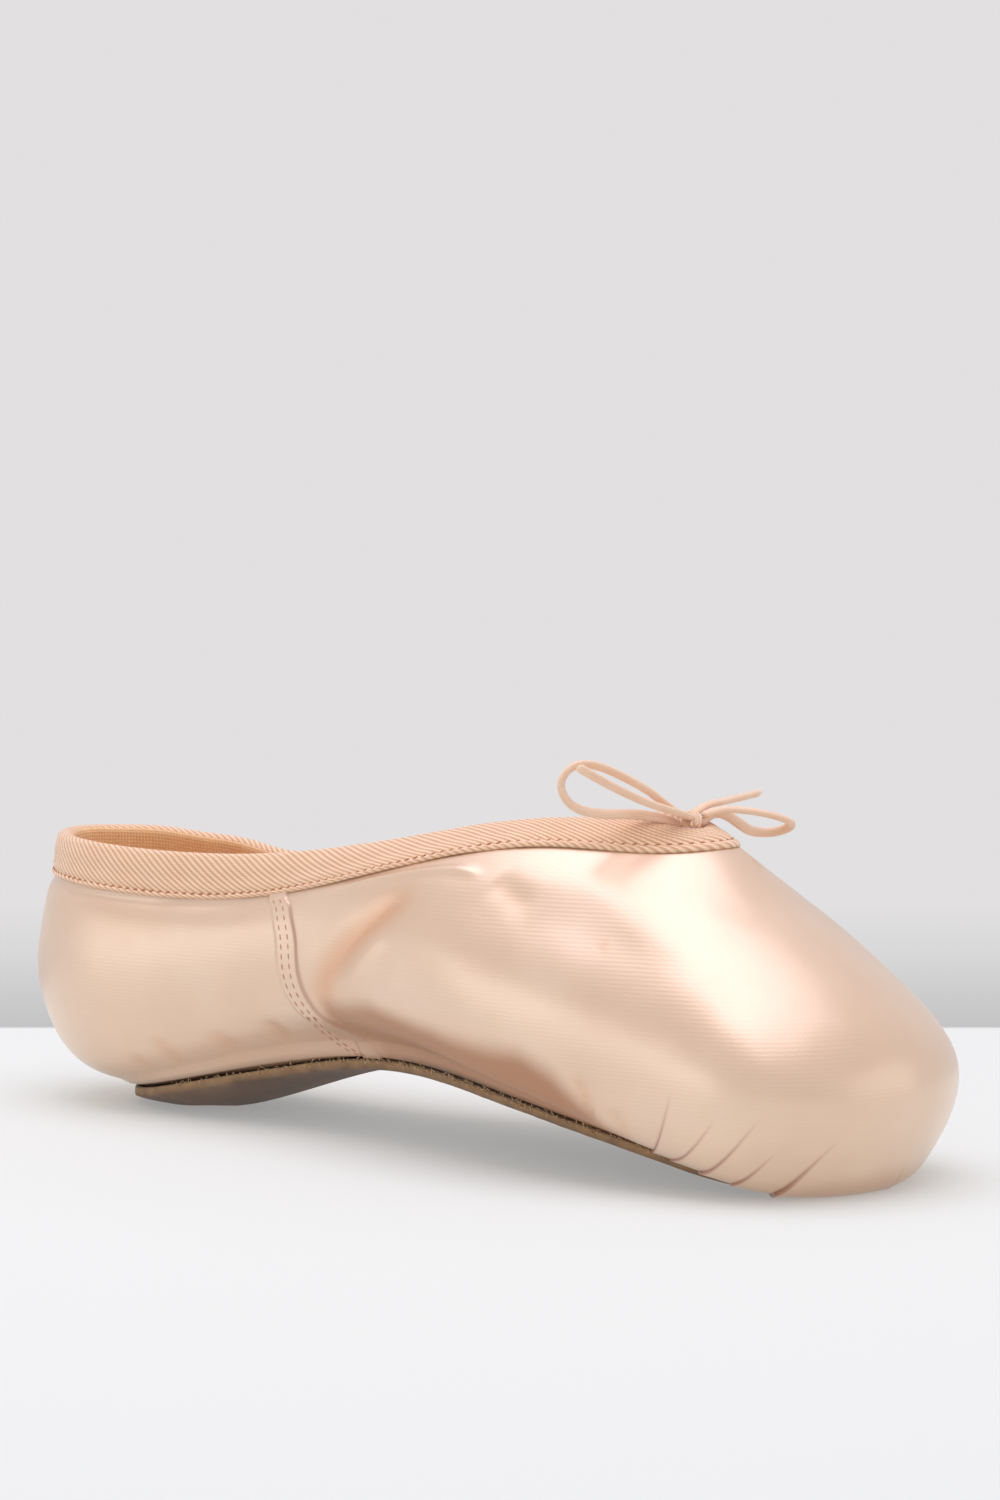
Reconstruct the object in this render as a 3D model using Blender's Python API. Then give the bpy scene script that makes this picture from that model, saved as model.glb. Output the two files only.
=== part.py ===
"""A satin pointe shoe: upper, tape binding, outsole, insole and a tied drawstring.

X runs from heel to toe, Y to the shoe's left, Z up from the floor. All lengths are metres.
"""
import math

import bmesh
import bpy
import numpy as np

# Driving sizes
LENGTH = 0.236
BALL_WIDTH = 0.079
HEEL_HEIGHT = 0.060
THROAT_HEIGHT = 0.072
ARCH_RISE = 0.0155
WALL = 0.0018
SOLE_THICKNESS = 0.003
SOLE_MARGIN = 0.0007
INSOLE_THICKNESS = 0.0014
TAPE_THICKNESS = 0.0006
SEAM_WIDTH = 0.0062
SEAM_STEP = 0.0005
CORD_DIAMETER = 0.0018
KNOT_LENGTH = 0.0050
KNOT_WIDTH = 0.0036
KNOT_HEIGHT = 0.0052
GAP = 0.0003
INSOLE_CLEARANCE = 0.0012
FAR_SIDE_DROP = 0.0045

# Stations along a row, as shares of the row's own run, and their share of the half turn round it
ALONG_SHARE = (0.0, 0.080, 0.36, 0.64, 0.84, 0.965, 1.0)
TURN_SHARE = (0.0, 0.125, 0.36, 0.61, 0.80, 0.93, 1.0)

# Height of the rim at each station, from the heel's height (0) to the throat's (1)
RIM_SHARE = (0.0, -0.033, -0.117, 0.417, 0.90, 0.87, 0.76)

# How much of the drop of the slack far side reaches each station
DROP_SHARE = (0.0, 0.15, 1.0, 0.6, 0.15, 0.0, 0.0)

# Line where satin meets the sole: share of the length, share of the arch's rise
SOLE_LINE_SHARES = ((0.0, 0.16), (0.06, 0.07), (0.12, 0.07), (0.20, 0.25), (0.26, 0.445), (0.34, 0.70),
                    (0.42, 0.92), (0.51, 1.0), (0.61, 0.89), (0.725, 0.62), (0.815, 0.335),
                    (0.88, 0.10), (0.935, -0.04), (1.0, -0.04))

# How far the sole bellies down below that line: share of the length, share of the arch's rise
BELLY_SHARES = ((0.10, 0.16), (0.16, 0.26), (0.22, 0.35), (0.30, 0.28), (0.42, 0.08), (0.56, 0.05),
                (0.73, 0.13), (0.83, 0.17), (0.88, 0.17), (0.94, 0.10))

# Rows of the upper from the margin under the foot to the rim.
# heel, toe: shares of the length. The half widths are shares of half the ball width.
# The heights run from the sole line (0) to the rim (1) at the seven stations.
COLUMNS = ("level", "heel", "toe", "heel_side", "waist", "ball", "box", "corner", "heights")
ROW_SHARES = {
    "margin": (0.00, 0.161, 0.873, 0.278, 0.253, 0.481, 0.506, 0.278, (0, 0, 0, 0, 0, 0, 0)),
    "edge": (0.09, 0.114, 0.932, 0.430, 0.405, 0.671, 0.696, 0.430, (0, 0, 0, 0, 0, 0, 0)),
    "roll": (0.24, 0.042, 0.975, 0.595, 0.570, 0.873, 0.873, 0.582,
             (0.089, 0.134, 0.170, 0.073, 0.035, 0.048, 0.045)),
    "girth": (0.42, 0.0, 1.0, 0.646, 0.684, 0.987, 0.962, 0.658,
              (0.426, 0.438, 0.438, 0.348, 0.270, 0.256, 0.247)),
    "shoulder": (0.55, 0.0025, 0.985, 0.633, 0.684, 0.949, 0.899, 0.608,
                 (0.624, 0.628, 0.622, 0.590, 0.467, 0.421, 0.427)),
    "crown": (0.68, 0.009, 0.924, 0.600, 0.663, 0.835, 0.759, 0.506,
              (0.764, 0.761, 0.730, 0.765, 0.650, 0.610, 0.635)),
    "vamp": (0.79, 0.013, 0.860, 0.563, 0.638, 0.747, 0.658, 0.405,
             (0.815, 0.809, 0.782, 0.860, 0.800, 0.765, 0.785)),
    "fold": (0.90, 0.017, 0.797, 0.525, 0.613, 0.646, 0.532, 0.291,
             (0.859, 0.856, 0.825, 0.901, 0.925, 0.928, 0.959)),
    "rim": (1.00, 0.022, 0.771, 0.475, 0.544, 0.506, 0.380, 0.205, (1, 1, 1, 1, 1, 1, 1)),
}

# Front edge of the side seams: its share of the half turn at mid height, and at each level
SEAM_SHARE = 0.405
SEAM_LINE_SHARES = ((0.0, 0.435), (0.20, 0.417), (0.35, 0.406), (0.57, 0.403), (0.72, 0.420), (1.0, 0.475))
SEAM_REACH_SHARE = 0.15

# Levels of the tape's lower edge outside and inside
TAPE_SHARE = 0.895
TAPE_INSIDE_SHARE = 0.93

# The drawstring's routes, chosen by hand from the photo, from the middle of the knot
KNOT = (0.1792, 0.0, 0.0714)
LEFT_LOOP = ((-0.0010, -0.0020, 0.0012), (-0.0014, -0.0056, 0.0030), (-0.0028, -0.0110, 0.0066),
             (-0.0054, -0.0164, 0.0098), (-0.0084, -0.0216, 0.0122), (-0.0110, -0.0260, 0.0120),
             (-0.0124, -0.0278, 0.0089), (-0.0118, -0.0266, 0.0053), (-0.0100, -0.0224, 0.0029),
             (-0.0078, -0.0174, 0.0022), (-0.0048, -0.0110, 0.0018), (-0.0026, -0.0056, 0.0005),
             (-0.0019, -0.0020, -0.0009))
RIGHT_LOOP = ((0.0011, 0.0020, 0.0012), (0.0024, 0.0062, 0.0020), (0.0042, 0.0116, 0.0018),
              (0.0060, 0.0174, 0.0008), (0.0071, 0.0221, -0.0004), (0.0067, 0.0258, -0.0016),
              (0.0043, 0.0280, -0.0030), (0.0010, 0.0276, -0.0040), (-0.0008, 0.0247, -0.0039),
              (-0.0006, 0.0196, -0.0025), (-0.0002, 0.0140, -0.0001), (0.0003, 0.0083, 0.0012),
              (0.0005, 0.0045, 0.0004), (0.0004, 0.0022, -0.0008))
LEFT_END = ((0.0013, -0.0020, 0.0010), (0.0013, -0.0064, 0.0022), (0.0001, -0.0120, 0.0038),
            (-0.0025, -0.0176, 0.0062), (-0.0052, -0.0232, 0.0092), (-0.0079, -0.0284, 0.0124))
RIGHT_END = ((-0.0012, 0.0020, 0.0014), (-0.0018, 0.0080, 0.0028), (-0.0026, 0.0138, 0.0030),
             (-0.0036, 0.0200, 0.0032), (-0.0046, 0.0260, 0.0034), (-0.0053, 0.0316, 0.0037))


def spline_weights(knots, wanted, period=None):
    """Weights of a smooth cubic through values at the knots; with a period it closes on itself."""
    knots = np.asarray(knots, float)
    count = len(knots)
    steps = np.diff(np.append(knots, knots[0] + period) if period else knots)
    bend = np.zeros((count, count))
    pull = np.zeros((count, count))
    for i in range(count):
        if not period and i in (0, count - 1):
            bend[i, i] = 1.0
            continue
        before, after = steps[i - 1], steps[i]
        left, right = (i - 1) % count, (i + 1) % count
        bend[i, left] += before
        bend[i, i] += 2 * (before + after)
        bend[i, right] += after
        pull[i, left] += 6 / before
        pull[i, i] -= 6 / before + 6 / after
        pull[i, right] += 6 / after
    curvature = np.linalg.solve(bend, pull)
    weights = []
    for t in np.atleast_1d(wanted):
        if period:
            t = (t - knots[0]) % period + knots[0]
        i = int(np.clip(np.searchsorted(knots, t, side="right") - 1, 0, len(steps) - 1))
        j = (i + 1) % count
        q = (t - knots[i]) / steps[i]
        row = np.zeros(count)
        row[i] += 1 - q
        row[j] += q
        row += ((1 - q) ** 3 - (1 - q)) * steps[i] ** 2 / 6 * curvature[i]
        row += (q ** 3 - q) * steps[i] ** 2 / 6 * curvature[j]
        weights.append(row)
    return np.array(weights)


def table_curve(table, x):
    """Value of a two-column table at X, both as shares, read along a smooth curve."""
    shares = np.clip(np.atleast_1d(x) / LENGTH, table[0][0], table[-1][0])
    return spline_weights([row[0] for row in table], shares) @ [row[1] for row in table]


def sole_line(x):
    return SOLE_THICKNESS + ARCH_RISE * table_curve(SOLE_LINE_SHARES, x)


def row_stations(name):
    """X, half width and height of one row at the seven stations."""
    row = dict(zip(COLUMNS, ROW_SHARES[name]))
    run = row["toe"] - row["heel"]
    x = np.array([LENGTH * (row["heel"] + share * run) for share in ALONG_SHARE])
    half = [0.0, *[BALL_WIDTH / 2 * row[key] for key in COLUMNS[3:8]], 0.0]
    bottom = sole_line(x)
    rim = HEEL_HEIGHT + (THROAT_HEIGHT - HEEL_HEIGHT) * np.array(RIM_SHARE)
    z = bottom + np.array(row["heights"]) * (rim - bottom)
    return x, np.array(half), z


def control_net():
    """The rows as closed rings: right side (-Y) from heel to toe, then back along the left."""
    rings = []
    for name in ROW_SHARES:
        x, half, z = row_stations(name)
        slack = np.array(ROW_SHARES[name][-1]) ** 2 * FAR_SIDE_DROP * np.array(DROP_SHARE)
        right = list(zip(x, -half, z))
        left = list(zip(x, half, z - slack))[1:-1]
        rings.append(right + left[::-1])
    return np.array(rings)


NET = control_net()
RING_TURNS = list(TURN_SHARE) + [2 - turn for turn in TURN_SHARE[-2:0:-1]]
LEVELS = [row[0] for row in ROW_SHARES.values()]
EDGE_LEVEL = ROW_SHARES["edge"][0]


def edge_outline():
    """X and half width of the line where the satin meets the sole."""
    across = spline_weights(RING_TURNS, np.linspace(0, 1, 241), 2.0)
    points = across @ NET[list(ROW_SHARES).index("edge")]
    return points[:, 0], -points[:, 1]


EDGE_X, EDGE_HALF = edge_outline()


def under_height(x, y):
    """Height of the dished line of the satin's margin, which sole and insole both follow."""
    half = np.interp(x, EDGE_X, EDGE_HALF)
    share = np.clip(np.abs(y) / np.maximum(half, 0.002), 0, 1)
    middle, reach = (EDGE_X[-1] + EDGE_X[0]) / 2, (EDGE_X[-1] - EDGE_X[0]) / 2
    end = np.clip(np.abs(x - middle) / reach, 0, 1)
    return sole_line(x) - ARCH_RISE * table_curve(BELLY_SHARES, x) * (1 - share ** 2) * (1 - end ** 8)


def last_surface(turns, levels):
    """Points of the upper's outside: rows of levels, columns of turns."""
    across = spline_weights(RING_TURNS, turns, 2.0)
    up = spline_weights(LEVELS, levels)
    points = np.einsum("vr,rkc,uk->vuc", up, NET, across)
    for row, level in zip(points, levels):
        if level <= EDGE_LEVEL:
            row[:, 2] = under_height(row[:, 0], row[:, 1])
    return points


def last_frame(turns, levels):
    """Surface points, outward unit normals and unit directions up the wall."""
    turns, levels = np.asarray(turns, float), np.asarray(levels, float)
    step = 0.002
    low, high = np.maximum(levels - step, 0), np.minimum(levels + step, 1)
    rise = last_surface(turns, high) - last_surface(turns, low)
    rise /= np.linalg.norm(rise, axis=2, keepdims=True)
    forward = last_surface(turns + step, levels) - last_surface(turns - step, levels)
    normal = np.cross(forward, rise)
    normal /= np.linalg.norm(normal, axis=2, keepdims=True)
    return last_surface(turns, levels), normal, rise


def add_object(name, mesh, colour, roughness):
    material = bpy.data.materials.new(name + "_material")
    material.use_nodes = True
    shader = material.node_tree.nodes["Principled BSDF"]
    shader.inputs["Base Color"].default_value = (*colour, 1)
    shader.inputs["Roughness"].default_value = roughness
    shader.inputs["Metallic"].default_value = 0
    mesh.materials.append(material)
    thing = bpy.data.objects.new(name, mesh)
    bpy.context.collection.objects.link(thing)
    thing.location.x = -LENGTH / 2
    return thing


def closed_tube_mesh(name, rings):
    """A mesh of closed sections in a closed loop, each section joined to the next."""
    rings = np.asarray(rings)
    loops, size = rings.shape[:2]
    faces = []
    for i in range(loops):
        for j in range(size):
            after, beside = (i + 1) % loops, (j + 1) % size
            faces.append((i * size + j, after * size + j, after * size + beside, i * size + beside))
    mesh = bpy.data.meshes.new(name)
    mesh.from_pydata(rings.reshape(-1, 3).tolist(), [], faces)
    return turned_outwards(mesh)


def turned_outwards(mesh):
    shape = bmesh.new()
    shape.from_mesh(mesh)
    bmesh.ops.recalc_face_normals(shape, faces=shape.faces)
    if shape.calc_volume(signed=True) < 0:
        bmesh.ops.reverse_faces(shape, faces=shape.faces)
    shape.to_mesh(mesh)
    shape.free()
    return mesh


def seam_leaning(turns, level):
    """Turns shifted at one level so that the columns near each side seam follow its line."""
    front = spline_weights([row[0] for row in SEAM_LINE_SHARES], level) @ [row[1] for row in SEAM_LINE_SHARES]
    turns = np.asarray(turns)
    side = np.where(turns > 1, 2 - turns, turns)
    away = np.clip(np.abs(side - SEAM_SHARE) / SEAM_REACH_SHARE, 0, 1)
    shift = (front[0] - SEAM_SHARE) * np.cos(math.pi / 2 * away) ** 2
    return np.where(turns > 1, turns - shift, turns + shift)


def seam_turns():
    """Start and end of the raised seam strip on each side, and the ribs that make its step."""
    near_foot = last_surface([SEAM_SHARE - 0.01, SEAM_SHARE], [ROW_SHARES["girth"][0]])[0]
    per_metre = 0.01 / np.linalg.norm(near_foot[1] - near_foot[0])
    width, edge = SEAM_WIDTH * per_metre, SEAM_STEP * per_metre
    right = (SEAM_SHARE - width - edge, SEAM_SHARE - width, SEAM_SHARE, SEAM_SHARE + edge)
    return right, tuple(2 - turn for turn in right[::-1])


def upper_turns(count):
    """Even turns round the upper, with those near a seam replaced by the seam's own."""
    right, left = seam_turns()
    turns = [2 * i / count for i in range(count)]
    for strip in (right, left):
        room = 0.35 / count
        turns = [turn for turn in turns if not strip[0] - room < turn < strip[3] + room]
        turns += strip
    return sorted(turns), (right, left)


def make_upper():
    turns, strips = upper_turns(60)
    levels = [0.0, 0.045, 0.09, 0.12, 0.17, 0.24, 0.33, 0.42, 0.49, 0.55, 0.62, 0.68, 0.735, 0.79,
              0.845, 0.90, 0.95, 1.0]
    frames = [last_frame(seam_leaning(turns, level), [level]) for level in levels]
    points = np.concatenate([frame[0] for frame in frames])
    normals = np.concatenate([frame[1] for frame in frames])
    raised = np.array([any(strip[1] - 1e-9 <= turn <= strip[2] + 1e-9 for strip in strips) for turn in turns])
    step = np.zeros((len(levels), len(turns), 1))
    for i, level in enumerate(levels):
        if EDGE_LEVEL < level < TAPE_SHARE:
            step[i, raised] = SEAM_STEP
    outside = points + normals * step
    inside = points - normals * WALL
    sections = np.concatenate([outside, inside[::-1]]).transpose(1, 0, 2)
    mesh = closed_tube_mesh("upper", sections)
    return add_object("upper", mesh, (0.82, 0.60, 0.45), 0.35)


def make_binding():
    """Tape folded over the rim: up the outside, over the edge and down the inside."""
    turns = [2 * i / 60 for i in range(60)]
    outer = [TAPE_SHARE, 0.95, 1.0]
    inner = [1.0, 0.95, TAPE_INSIDE_SHARE]
    out_at, out_normal, out_rise = last_frame(turns, outer)
    in_at, in_normal, in_rise = last_frame(turns, inner)
    near, far = GAP, GAP + TAPE_THICKNESS
    rows = [at + normal * far for at, normal in zip(out_at, out_normal)]
    top, normal, rise = out_at[-1], out_normal[-1], out_rise[-1]
    middle = top - normal * WALL / 2
    rows.append(middle + rise * far + normal * (WALL / 2))
    rows.append(middle + rise * far - normal * (WALL / 2))
    rows += [at - normal_in * (WALL + far) for at, normal_in in zip(in_at, in_normal)]
    rows += [at - normal_in * (WALL + near) for at, normal_in in zip(in_at[::-1], in_normal[::-1])]
    rows.append(middle + rise * near - normal * (WALL / 2 + near))
    rows.append(middle + rise * near + normal * (WALL / 2 + near))
    rows += [at + normal_out * near for at, normal_out in zip(out_at[::-1], out_normal[::-1])]
    mesh = closed_tube_mesh("binding", np.array(rows).transpose(1, 0, 2))
    return add_object("binding", mesh, (0.86, 0.57, 0.36), 0.8)


def plate_mesh(name, start, end, half_width, top, bottom, stations, across):
    """A plate between two height functions, inside an outline given as a half width along X."""
    middle, reach = (start + end) / 2, (end - start) / 2
    xs = [middle - reach * math.cos(math.pi * i / stations) for i in range(stations + 1)]
    vertices, faces, rows = [], [], []
    for i, x in enumerate(xs):
        shares = [0.0] if i in (0, stations) else across
        row = []
        for share in shares:
            y = share * half_width(x)
            row.append(len(vertices))
            vertices.append((x, y, top(x, y, share)))
            vertices.append((x, y, bottom(x, y, share)))
        rows.append(row)
    for here, after in zip(rows, rows[1:]):
        for j in range(len(across) - 1):
            a = here[min(j, len(here) - 1)]
            b = here[min(j + 1, len(here) - 1)]
            c = after[min(j + 1, len(after) - 1)]
            d = after[min(j, len(after) - 1)]
            upper_face = list(dict.fromkeys((a, b, c, d)))
            faces.append(upper_face)
            faces.append([k + 1 for k in reversed(upper_face)])
        for j in (0, -1):
            a, d = here[j], after[j]
            faces.append((a, d, d + 1, a + 1) if j == 0 else (a, a + 1, d + 1, d))
    mesh = bpy.data.meshes.new(name)
    mesh.from_pydata(vertices, [], faces)
    return turned_outwards(mesh)


ACROSS = (-1.0, -0.96, -0.85, -0.6, -0.3, 0.0, 0.3, 0.6, 0.85, 0.96, 1.0)


def number(value):
    return float(np.asarray(value).reshape(-1)[0])


def make_outsole():
    start, end = EDGE_X[0] - SOLE_MARGIN, EDGE_X[-1] + SOLE_MARGIN

    def half_width(x):
        inward = EDGE_X[0] + (x - start) * (EDGE_X[-1] - EDGE_X[0]) / (end - start)
        round_end = math.sqrt(1 - (2 * (x - start) / (end - start) - 1) ** 2)
        return np.interp(inward, EDGE_X, EDGE_HALF) + SOLE_MARGIN * round_end

    def top(x, y, share):
        return number(under_height(x, y)) - GAP

    def bottom(x, y, share):
        thickness = (SOLE_THICKNESS - GAP) * (1 - 0.3 * abs(share) ** 12)
        return max(0.0, top(x, y, share) - thickness)

    mesh = plate_mesh("outsole", start, end, half_width, top, bottom, 44, ACROSS)
    return add_object("outsole", mesh, (0.26, 0.14, 0.08), 0.7)


def make_insole():
    inset = WALL + INSOLE_CLEARANCE
    start, end = EDGE_X[0] + inset, EDGE_X[-1] - inset

    def half_width(x):
        inward = EDGE_X[0] + (x - start) * (EDGE_X[-1] - EDGE_X[0]) / (end - start)
        round_end = math.sqrt(1 - (2 * (x - start) / (end - start) - 1) ** 2)
        return max(0.0, np.interp(inward, EDGE_X, EDGE_HALF) - inset * round_end)

    def bottom(x, y, share):
        reach = 0.001
        along = number(under_height(x + reach, y)) - number(under_height(x - reach, y))
        across = number(under_height(x, abs(y))) - number(under_height(x, abs(y) - reach))
        slant = math.hypot(1, along / (2 * reach), across / reach)
        return number(under_height(x, y)) + (WALL + GAP) * slant

    def top(x, y, share):
        return bottom(x, y, share) + INSOLE_THICKNESS

    mesh = plate_mesh("insole", start, end, half_width, top, bottom, 30, ACROSS[::2])
    return add_object("insole", mesh, (0.75, 0.62, 0.48), 0.85)


def smooth_route(points, spacing):
    """Points of a smooth curve through the route, a spacing apart, from the middle of the knot."""
    points = np.array(points) + np.array(KNOT)
    lengths = np.concatenate([[0], np.cumsum(np.linalg.norm(np.diff(points, axis=0), axis=1))])
    fine = spline_weights(lengths, np.linspace(0, lengths[-1], 400)) @ points
    along = np.concatenate([[0], np.cumsum(np.linalg.norm(np.diff(fine, axis=0), axis=1))])
    count = max(4, round(along[-1] / spacing))
    wanted = np.linspace(0, along[-1], count + 1)
    return np.stack([np.interp(wanted, along, fine[:, k]) for k in range(3)], axis=1)


def make_cord(name, route):
    points = smooth_route(route, 2.2 * CORD_DIAMETER)
    curve = bpy.data.curves.new(name, "CURVE")
    curve.dimensions = "3D"
    curve.bevel_depth = CORD_DIAMETER / 2
    curve.bevel_resolution = 2
    curve.use_fill_caps = True
    spline = curve.splines.new("POLY")
    spline.points.add(len(points) - 1)
    for place, point in zip(spline.points, points):
        place.co = (*point, 1)
    return add_object(name, curve, (0.90, 0.62, 0.42), 0.7)


def make_knot():
    mesh = bpy.data.meshes.new("bow_knot")
    shape = bmesh.new()
    bmesh.ops.create_uvsphere(shape, u_segments=12, v_segments=8, radius=0.5)
    bmesh.ops.scale(shape, vec=(KNOT_LENGTH, KNOT_WIDTH, KNOT_HEIGHT), verts=shape.verts)
    bmesh.ops.translate(shape, vec=KNOT, verts=shape.verts)
    shape.to_mesh(mesh)
    shape.free()
    return add_object("bow_knot", mesh, (0.90, 0.62, 0.42), 0.7)


for old in list(bpy.data.objects):
    bpy.data.objects.remove(old)

make_upper()
make_binding()
make_outsole()
make_insole()
make_knot()
make_cord("left_loop", LEFT_LOOP)
make_cord("right_loop", RIGHT_LOOP)
make_cord("left_end", LEFT_END)
make_cord("right_end", RIGHT_END)
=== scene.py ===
"""A satin pointe shoe on a pale floor, with its tape binding, leather sole and tied drawstring.

Shoe coordinates run from the back of the heel at X 0 to the toe tip at X LENGTH, with Y to the
shoe's left and Z up. Every piece is moved by SHIFT into the shared frame when it is made.
"""
import math
import random

import bmesh
import bpy
import numpy as np
from mathutils import Matrix, Vector, noise


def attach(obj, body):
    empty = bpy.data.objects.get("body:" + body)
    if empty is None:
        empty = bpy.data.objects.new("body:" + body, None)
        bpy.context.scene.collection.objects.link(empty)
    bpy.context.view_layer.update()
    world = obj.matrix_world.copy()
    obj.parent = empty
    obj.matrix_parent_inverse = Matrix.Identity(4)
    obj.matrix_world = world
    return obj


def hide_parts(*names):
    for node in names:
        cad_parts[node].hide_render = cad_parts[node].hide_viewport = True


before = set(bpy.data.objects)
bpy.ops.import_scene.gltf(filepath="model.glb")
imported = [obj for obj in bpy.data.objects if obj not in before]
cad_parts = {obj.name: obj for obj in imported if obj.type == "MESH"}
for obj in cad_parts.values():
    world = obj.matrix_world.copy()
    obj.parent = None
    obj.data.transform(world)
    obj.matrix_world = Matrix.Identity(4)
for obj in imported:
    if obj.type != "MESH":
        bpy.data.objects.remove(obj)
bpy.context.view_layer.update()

MM = 0.001

# Driving sizes, the same as the solids'
LENGTH = 0.236
BALL_WIDTH = 0.079
HEEL_HEIGHT = 0.060
THROAT_HEIGHT = 0.072
ARCH_RISE = 0.0155
WALL = 0.0018
SOLE_THICKNESS = 0.003
SOLE_MARGIN = 0.0007
INSOLE_THICKNESS = 0.0014
TAPE_THICKNESS = 0.0006
TAPE_WIDTH = 0.010
SEAM_WIDTH = 0.0062
SEAM_STEP = 0.0005
GAP = 0.0003
INSOLE_CLEARANCE = 0.0012
FAR_SIDE_DROP = 0.0045
SHIFT = np.array([-LENGTH / 2, 0.0, 0.0])

# Shares of a row's run and of the half turn round it at the seven stations
ALONG_SHARE = (0.0, 0.080, 0.36, 0.64, 0.84, 0.965, 1.0)
TURN_SHARE = (0.0, 0.125, 0.36, 0.61, 0.80, 0.93, 1.0)
RIM_SHARE = (0.0, -0.033, -0.117, 0.417, 0.90, 0.87, 0.76)
DROP_SHARE = (0.0, 0.15, 1.0, 0.6, 0.15, 0.0, 0.0)

# Share of the length, share of the arch's rise
SOLE_LINE_SHARES = ((0.0, 0.16), (0.06, 0.07), (0.12, 0.07), (0.20, 0.25), (0.26, 0.445), (0.34, 0.70),
                    (0.42, 0.92), (0.51, 1.0), (0.61, 0.89), (0.725, 0.62), (0.815, 0.335),
                    (0.88, 0.10), (0.935, -0.04), (1.0, -0.04))
BELLY_SHARES = ((0.10, 0.16), (0.16, 0.26), (0.22, 0.35), (0.30, 0.28), (0.42, 0.08), (0.56, 0.05),
                (0.73, 0.13), (0.83, 0.17), (0.88, 0.17), (0.94, 0.10))

# Rows of the upper from the margin under the foot to the rim, as shares of the sizes above
COLUMNS = ("level", "heel", "toe", "heel_side", "waist", "ball", "box", "corner", "heights")
ROW_SHARES = {
    "margin": (0.00, 0.161, 0.873, 0.278, 0.253, 0.481, 0.506, 0.278, (0,) * 7),
    "edge": (0.09, 0.114, 0.932, 0.430, 0.405, 0.671, 0.696, 0.430, (0,) * 7),
    "roll": (0.24, 0.042, 0.975, 0.595, 0.570, 0.873, 0.873, 0.582,
             (0.089, 0.134, 0.170, 0.073, 0.035, 0.048, 0.045)),
    "girth": (0.42, 0.0, 1.0, 0.646, 0.684, 0.987, 0.962, 0.658,
              (0.426, 0.438, 0.438, 0.348, 0.270, 0.256, 0.247)),
    "shoulder": (0.55, 0.0025, 0.985, 0.633, 0.684, 0.949, 0.899, 0.608,
                 (0.624, 0.628, 0.622, 0.590, 0.467, 0.421, 0.427)),
    "crown": (0.68, 0.009, 0.924, 0.600, 0.663, 0.835, 0.759, 0.506,
              (0.764, 0.761, 0.730, 0.765, 0.650, 0.610, 0.635)),
    "vamp": (0.79, 0.013, 0.860, 0.563, 0.638, 0.747, 0.658, 0.405,
             (0.815, 0.809, 0.782, 0.860, 0.800, 0.765, 0.785)),
    "fold": (0.90, 0.017, 0.797, 0.525, 0.613, 0.646, 0.532, 0.291,
             (0.859, 0.856, 0.825, 0.901, 0.925, 0.928, 0.959)),
    "rim": (1.00, 0.022, 0.771, 0.475, 0.544, 0.506, 0.380, 0.205, (1,) * 7),
}

# The side seam's front edge: level, share of the half turn
SEAM_SHARE = 0.405
SEAM_LINE_SHARES = ((0.0, 0.435), (0.20, 0.417), (0.35, 0.406), (0.57, 0.403), (0.72, 0.420), (1.0, 0.475))
SEAM_REACH_SHARE = 0.15
TAPE_SHARE = 0.895
TAPE_INSIDE_SHARE = 0.93

# The camera, as the photograph was taken, for a 36 mm sensor
CAMERA_PLACE = (0.5305, -0.6551, 0.1395)
CAMERA_AIM = (0.0, 0.0, 0.03)
CAMERA_LENS = 94.66
CAMERA_SHIFT = (0.027, 0.1653)

# Where the board ends, behind the middle of the shoe, its own tone, and the backdrop's tones from
# its foot up, darker at the foot as painted shading: share of the next metre, tone
FLOOR_SEAM = 0.173
FLOOR_TONE = "#C2C6C3"
BACKDROP_TONES = ((0.0, "#C5C4C5"), (0.05, "#CBCACB"), (0.16, "#D9D8D9"), (0.30, "#E2E0E1"),
                  (0.50, "#E2E0E1"))

# The drawstring's routes from the middle of the knot, the same as the solids'
KNOT = (0.1792, 0.0, 0.0714)
LEFT_LOOP = ((-0.0010, -0.0020, 0.0012), (-0.0014, -0.0056, 0.0030), (-0.0028, -0.0110, 0.0066),
             (-0.0054, -0.0164, 0.0098), (-0.0084, -0.0216, 0.0122), (-0.0110, -0.0260, 0.0120),
             (-0.0124, -0.0278, 0.0089), (-0.0118, -0.0266, 0.0053), (-0.0100, -0.0224, 0.0029),
             (-0.0078, -0.0174, 0.0022), (-0.0048, -0.0110, 0.0018), (-0.0026, -0.0056, 0.0005),
             (-0.0019, -0.0020, -0.0009))
RIGHT_LOOP = ((0.0011, 0.0020, 0.0012), (0.0024, 0.0062, 0.0020), (0.0042, 0.0116, 0.0018),
              (0.0060, 0.0174, 0.0008), (0.0071, 0.0221, -0.0004), (0.0067, 0.0258, -0.0016),
              (0.0043, 0.0280, -0.0030), (0.0010, 0.0276, -0.0040), (-0.0008, 0.0247, -0.0039),
              (-0.0006, 0.0196, -0.0025), (-0.0002, 0.0140, -0.0001), (0.0003, 0.0083, 0.0012),
              (0.0005, 0.0045, 0.0004), (0.0004, 0.0022, -0.0008))
LEFT_END = ((0.0013, -0.0020, 0.0010), (0.0013, -0.0064, 0.0022), (0.0001, -0.0120, 0.0038),
            (-0.0025, -0.0176, 0.0062), (-0.0052, -0.0232, 0.0092), (-0.0079, -0.0284, 0.0124))
RIGHT_END = ((-0.0012, 0.0020, 0.0014), (-0.0018, 0.0080, 0.0028), (-0.0026, 0.0138, 0.0030),
             (-0.0036, 0.0200, 0.0032), (-0.0046, 0.0260, 0.0034), (-0.0053, 0.0316, 0.0037))
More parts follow.
